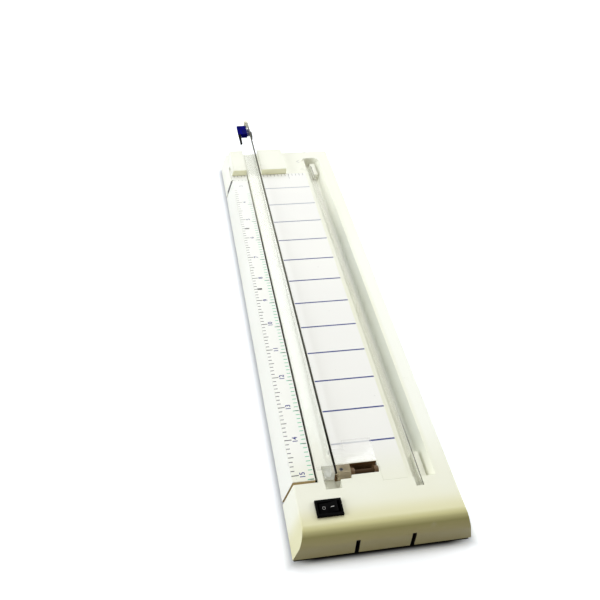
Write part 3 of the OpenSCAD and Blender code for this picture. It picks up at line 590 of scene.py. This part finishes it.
# A few nodes differ from the rest of their slot
finish_of_node = {name: finish_of_slot[slot_of_node[name]] for name in nodes}
finish_of_node |= {
    "base_shell": base_cream, "rail": rail_clear, "hinge_leaf": leaf_clear, "hinge_pin": dark_pin,
    "rail_edge_strip": strip_black, "cutting_strip": pad, "ruler_label": arm_sheet_painted_light,
    "bar_holder_near": holder, "bar_holder_far": holder}
for name, node in nodes.items():
    node.data.materials.clear()
    node.data.materials.append(finish_of_node[name])


# Pieces

def piece(name, mesh, finish, body):
    """A finished mesh, on its body and in its slot."""
    mesh.materials.clear()
    mesh.materials.append(finish)
    made = bpy.data.objects.new(name, mesh)
    scene.collection.objects.link(made)
    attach(made, body)
    return made


def plain_mesh(made):
    """The mesh that an object's modifiers give, with the object removed."""
    bpy.context.view_layer.update()
    mesh = bpy.data.meshes.new_from_object(made.evaluated_get(bpy.context.evaluated_depsgraph_get()))
    bpy.data.objects.remove(made)
    return mesh


def eased(node, radius):
    """Stands for a CAD node, with its sharp edges eased as a mould leaves them."""
    sharpest_left = radians(28)
    flat_enough = radians(0.5)
    mesh = nodes[node].data.copy()
    bm = bmesh.new()
    bm.from_mesh(mesh)
    bmesh.ops.remove_doubles(bm, verts=bm.verts, dist=0.002 * MM)
    bmesh.ops.dissolve_limit(bm, angle_limit=flat_enough, verts=bm.verts, edges=bm.edges)
    weight = bm.edges.layers.float.new("bevel_weight_edge")
    for edge in bm.edges:
        sharp = edge.calc_face_angle(0) > sharpest_left
        edge[weight] = float(sharp and edge.is_convex)
        edge.smooth = edge.is_convex or not sharp
    for face in bm.faces:
        face.smooth = True
    bm.to_mesh(mesh)
    bm.free()
    made = bpy.data.objects.new(node + "_eased", mesh)
    scene.collection.objects.link(made)
    bevel = made.modifiers.new("ease", "BEVEL")
    bevel.width, bevel.segments = radius, 2
    bevel.limit_method = "WEIGHT"
    bevel.harden_normals = True
    mesh = plain_mesh(made)
    made = piece(node + "_eased", mesh, finish_of_node[node], body_of_node[node])
    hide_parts(node)


# Radii in millimetres
for node, radius in (
        ("rail", 0.3), ("hinge_leaf", 0.2), ("light_bar", 0.25), ("carriage_body", 0.4),
        ("blade_holder", 0.3), ("carriage_clip", 0.2), ("rail_end_cap", 0.4), ("fence_left", 0.4),
        ("fence_right", 0.4), ("switch_housing", 0.3), ("switch_rocker", 0.3),
        ("bar_holder_near", 0.3), ("bar_holder_far", 0.3), ("hinge_cradle", 0.2),
        ("battery_door", 0.3)):
    eased(node, radius * MM)


# Printed marks

def mark_row_tree():
    """A row of flat marks: count, start, step, size and ink are its inputs."""
    tree = bpy.data.node_groups.new("mark row", "GeometryNodeTree")
    face = tree.interface
    face.new_socket("Geometry", in_out="OUTPUT", socket_type="NodeSocketGeometry")
    for name, kind in (
            ("Count", "NodeSocketInt"), ("Start", "NodeSocketVector"), ("Step", "NodeSocketVector"),
            ("Size", "NodeSocketVector"), ("Ink", "NodeSocketMaterial")):
        face.new_socket(name, in_out="INPUT", socket_type=kind)
    given = tree.nodes.new("NodeGroupInput").outputs
    line = tree.nodes.new("GeometryNodeMeshLine")
    cube = tree.nodes.new("GeometryNodeMeshCube")
    put = tree.nodes.new("GeometryNodeInstanceOnPoints")
    real = tree.nodes.new("GeometryNodeRealizeInstances")
    paint = tree.nodes.new("GeometryNodeSetMaterial")
    result = tree.nodes.new("NodeGroupOutput").inputs
    line.mode = "OFFSET"
    for source, target in (
            (given["Count"], line.inputs["Count"]),
            (given["Start"], line.inputs["Start Location"]),
            (given["Step"], line.inputs["Offset"]),
            (given["Size"], cube.inputs["Size"]),
            (line.outputs["Mesh"], put.inputs["Points"]),
            (cube.outputs["Mesh"], put.inputs["Instance"]),
            (put.outputs["Instances"], real.inputs["Geometry"]),
            (real.outputs["Geometry"], paint.inputs["Geometry"]),
            (given["Ink"], paint.inputs["Material"]),
            (paint.outputs["Geometry"], result["Geometry"])):
        tree.links.new(source, target)
    return tree


mark_rows = mark_row_tree()
mark_input = {s.name: s.identifier for s in mark_rows.interface.items_tree if s.in_out == "INPUT"}
INK_THICK = 0.03 * MM
bed_top = bed_high.z + INK_THICK / 2
ruler_top = ruler_high.z + INK_THICK / 2
ALONG = Vector((0, 1, 0))
ACROSS = Vector((1, 0, 0))


def mark_row(count, start, step, size, colour):
    """The mesh of a row of flat marks, each centred on its place."""
    carrier = bpy.data.objects.new("row", bpy.data.meshes.new("row"))
    scene.collection.objects.link(carrier)
    row = carrier.modifiers.new("row", "NODES")
    row.node_group = mark_rows
    given = {"Count": count, "Start": start, "Step": step, "Size": (*size, INK_THICK), "Ink": colour}
    for name, value in given.items():
        row[mark_input[name]] = value
    return plain_mesh(carrier)


def joined(meshes):
    """Several meshes as one."""
    bm = bmesh.new()
    for mesh in meshes:
        bm.from_mesh(mesh)
    whole = bpy.data.meshes.new("marks")
    bm.to_mesh(whole)
    bm.free()
    return whole


def lettering(words, height, place, turn):
    """Flat lettering as a mesh, turned about Z and centred on a place."""
    size_of_height = 1.38
    text = bpy.data.curves.new("lettering", "FONT")
    text.body, text.size = words, height * size_of_height
    text.align_x, text.align_y = "CENTER", "CENTER"
    text.extrude = INK_THICK / 2
    text.offset = 0.08 * MM
    text.resolution_u = 4
    made = bpy.data.objects.new("lettering", text)
    scene.collection.objects.link(made)
    mesh = plain_mesh(made)
    mesh.transform(Matrix.Translation(place) @ Matrix.Rotation(turn, 4, "Z"))
    return mesh


def bed_lines():
    """Inch lines across the bed."""
    first = Vector(((bed_low.x + bed_high.x) / 2, bed_low.y + 28.5 * MM, bed_top))
    size = (bed_high.x - bed_low.x - 0.4 * MM, 1.1 * MM)
    return mark_row(12, first, INCH * ALONG, size, blue_ink)


def bed_ticks():
    """Short ruler at the foot of the fence, with one long tick, and a chevron beyond it."""
    foot = bed_high.y
    first = Vector((bed_low.x + 1.6 * MM, foot - 2.1 * MM, bed_top))
    ticks = mark_row(12, first, EIGHTH * ACROSS, (0.6 * MM, 3.4 * MM), black_ink)
    long_length = 8.4 * MM
    middle = Vector((bed_low.x + 23.65 * MM, foot - long_length / 2, bed_top))
    long_tick = mark_row(1, middle, INCH * ALONG, (0.4 * MM, long_length), black_ink)
    tip = Vector((bed_high.x - 3.2 * MM, foot + 20.1 * MM, bed_top))
    strokes = []
    for side in (1, -1):
        stroke = mark_row(1, (0, 0, 0), INCH * ALONG, (3.2 * MM, 0.5 * MM), black_ink)
        turn = Matrix.Rotation(side * radians(40), 4, "Z")
        stroke.transform(Matrix.Translation(tip + side * MM * ALONG) @ turn)
        strokes.append(stroke)
    return joined([ticks, long_tick, *strokes])


piece("bed_lines", bed_lines(), blue_ink, "base")
piece("bed_ticks", bed_ticks(), black_ink, "base")

# Ruler on the arm: the last inch is at the near end, the black scale on the left, the green on the right
last_inch = ruler_low.y + 4.1 * MM
black_edge = ruler_low.x - 0.135 * MM
green_edge = ruler_high.x - 0.5 * MM
green_start = last_inch - 3.4 * MM


def scale_row(count, edge, start, step, length, width, colour):
    """Ticks along the ruler, from an edge inward; a negative length runs to the left."""
    first = Vector((edge + length / 2, start, ruler_top))
    return mark_row(count, first, step * ALONG, (abs(length), width), colour)


def black_scale():
    """Eighths, inches and half inches, and two short rows of ticks by the fence."""
    eighths, inches = 95, 12
    first_across = black_edge + 2 * MM
    return joined([
        scale_row(eighths, black_edge, last_inch, EIGHTH, 2.2 * MM, 0.48 * MM, black_ink),
        scale_row(inches, black_edge, last_inch, INCH, 4.2 * MM, 0.55 * MM, black_ink),
        scale_row(inches, black_edge, last_inch + INCH / 2, INCH, 3.2 * MM, 0.5 * MM, black_ink),
        mark_row(4, (first_across, ruler_high.y - 4.2 * MM, ruler_top), EIGHTH * ACROSS,
                 (0.6 * MM, 3.2 * MM), black_ink),
        mark_row(5, (first_across, ruler_high.y - 11.2 * MM, ruler_top), EIGHTH * ACROSS,
                 (0.6 * MM, 0.9 * MM), black_ink)])


def half_marks():
    """Two bold marks, each halfway between two numbers."""
    first = Vector((ruler_low.x + 3.865 * MM, last_inch + 6.5 * INCH, ruler_top))
    return mark_row(2, first, 3 * INCH * ALONG, (3.3 * MM, 1.6 * MM), bold_ink)


def green_scale():
    """Eighths and inches of the second scale."""
    eighths, inches = 94, 12
    return joined([
        scale_row(eighths, green_edge, green_start, EIGHTH, -2.4 * MM, 0.5 * MM, green_ink),
        scale_row(inches, green_edge, green_start, INCH, -3.6 * MM, 0.6 * MM, green_ink)])


def ruler_numbers():
    """The inches, counted down from the near end and read from the right."""
    last_number, count = 15, 13
    middle = ruler_low.x + 6.265 * MM
    return joined([
        lettering(str(last_number - i), 3.1 * MM, (middle, last_inch + i * INCH, ruler_top), radians(90))
        for i in range(count)])


piece("ruler_ticks", black_scale(), black_ink, "arm")
piece("ruler_half_marks", half_marks(), bold_ink, "arm")
piece("ruler_green_ticks", green_scale(), green_ink, "arm")
piece("ruler_numbers", ruler_numbers(), digit_ink, "arm")


# Switch marks

def ring(bm, outer_radius, inner_radius, segments=32):
    """A flat ring."""
    outer = bmesh.ops.create_circle(bm, segments=segments, radius=outer_radius)["verts"]
    inner = bmesh.ops.create_circle(bm, segments=segments, radius=inner_radius)["verts"]
    for i in range(segments):
        j = (i + 1) % segments
        bm.faces.new((outer[i], outer[j], inner[j], inner[i]))


def bar(bm, length, width):
    """A flat bar along X."""
    bmesh.ops.create_grid(bm, x_segments=1, y_segments=1, size=0.5)
    bmesh.ops.scale(bm, vec=(length, width, 1), verts=bm.verts)


def rocker_marks():
    """O and I on the two sloping halves of the rocker, which rests tipped to one side."""
    joint = joint_named["switch_rock"]
    low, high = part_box("switch_rocker")
    centre = Vector(((low.x + high.x) / 2, (low.y + high.y) / 2, joint["pos_m"][2]))
    tip = Matrix.Rotation(radians(-joint["range_deg"][1] / 2), 4, "Y")
    half_slope = 0.119  # radians
    from_middle = 2.4 * MM
    above_pivot = 2.71 * MM
    marks = []
    for side in (-1, 1):
        bm = bmesh.new()
        if side < 0:
            ring(bm, 0.95 * MM, 0.68 * MM)
        else:
            bar(bm, 1.9 * MM, 0.34 * MM)
        bmesh.ops.solidify(bm, geom=bm.faces, thickness=INK_THICK)
        bmesh.ops.recalc_face_normals(bm, faces=bm.faces)
        on_half = Matrix.Translation((side * from_middle, 0, above_pivot))
        slope = Matrix.Rotation(-side * half_slope, 4, "Y")
        bm.transform(Matrix.Translation(centre) @ tip @ on_half @ slope)
        mesh = bpy.data.meshes.new("mark")
        bm.to_mesh(mesh)
        bm.free()
        marks.append(mesh)
    return joined(marks)


piece("switch_marks", rocker_marks(), white_ink, "rocker")


# Studio

def table_finish():
    """Pale table: white to the eye, grey to other light, with painted shadow under the base and along its
    front foot, and a painted glow to the eye that brightens the floor away from the base.
    """
    f = Finish("pale table")
    seen = f.seen()
    x, y = f.axis("X"), f.axis("Y")
    outside_x = abs(x - (base_low.x + base_high.x) / 2) - (base_high.x - base_low.x) / 2
    outside_y = abs(y - (base_low.y + base_high.y) / 2) - (base_high.y - base_low.y) / 2
    outside = outside_x.larger(outside_y)
    edge_in = -0.8 * MM
    at_front = y < base_low.y + 26 * MM
    right_of_arm = x > rail_low.x + 8.25 * MM
    pale = f.mix(seen, (0.16, 0.16, 0.16, 1), (0.89, 0.92, 1.0, 1))
    # Painted glow: the floor brighter to the eye away from the base, so the shadow stays tight.
    painted_glow = 0.52 * f.band(outside, -1 * MM, 7.5 * MM) + 0.4 * f.band(outside, 0.25, 1.5)
    # Painted shadow: near black under the base and along its front foot.
    under = (outside < edge_in) * (at_front + right_of_arm > 0)
    before_corner = 1 - f.band(outside_x, -14 * MM, -1 * MM)
    painted_contact_shadow = before_corner * at_front * (1 - f.band(outside_y, edge_in, 3 * MM))
    return f.done(
        Base_Color=f.mix(under.larger(painted_contact_shadow), pale, (0.02, 0.018, 0.016, 1)),
        Roughness=0.9,
        Specular_IOR_Level=0.0,
        Emission_Color=f.mix(seen * painted_glow, (0, 0, 0, 1), (0.94, 0.96, 1, 1)),
        Emission_Strength=1.0)


def table():
    """The table top, which is no part of the object."""
    half_side = 4
    mesh = bpy.data.meshes.new("floor")
    bm = bmesh.new()
    bmesh.ops.create_grid(bm, x_segments=1, y_segments=1, size=half_side)
    bm.to_mesh(mesh)
    bm.free()
    mesh.materials.append(table_finish())
    floor = bpy.data.objects.new("floor", mesh)
    scene.collection.objects.link(floor)


def studio_air():
    """White behind the object, and a dim warm light from all round."""
    f = Finish("studio air", "worlds")
    scene.world = f.material
    colour = f.mix(f.seen(), (0.26, 0.236, 0.17, 1), (1, 1, 1, 1))
    air = f.node("ShaderNodeBackground", None, {"Color": colour})
    f.node("ShaderNodeOutputWorld", None, {"Surface": air})


def panel(name, place, size, power):
    """A soft lamp that looks at the object; place and size in metres, power in watts."""
    light = bpy.data.lights.new(name, "AREA")
    light.shape = "RECTANGLE"
    light.size, light.size_y = size
    light.energy = power
    light.color = (0.95, 0.985, 1.0)
    lamp = bpy.data.objects.new(name, light)
    lamp.location = place
    lamp.rotation_euler = (-Vector(place)).to_track_quat("-Z", "Y").to_euler()
    scene.collection.objects.link(lamp)


def camera():
    """The photograph's view, solved from the inch lines."""
    eye = Vector((-0.1025, -0.4352, 0.36954))
    aim = Vector((-0.01415, -0.0354, 0.0205))
    roll = radians(3.93)
    forward = (aim - eye).normalized()
    level = forward.cross(Vector((0, 0, 1))).normalized()
    upright = level.cross(forward)
    right = cos(roll) * level + sin(roll) * upright
    up = cos(roll) * upright - sin(roll) * level
    lens = bpy.data.cameras.new("camera")
    lens.sensor_width, lens.lens = 36, 45.07
    lens.clip_start = 0.01
    taker = bpy.data.objects.new("camera", lens)
    taker.matrix_world = Matrix.Translation(eye) @ Matrix((right, up, -forward)).transposed().to_4x4()
    scene.collection.objects.link(taker)
    scene.camera = taker


table()
studio_air()
panel("overhead", (0.1, 0.95, 1.1), (1.8, 1.2), 12)
panel("left", (-1.4, -0.1, 0.45), (0.9, 1.4), 20)
panel("right", (1.5, 0.25, 0.32), (0.9, 1.4), 23)
camera()
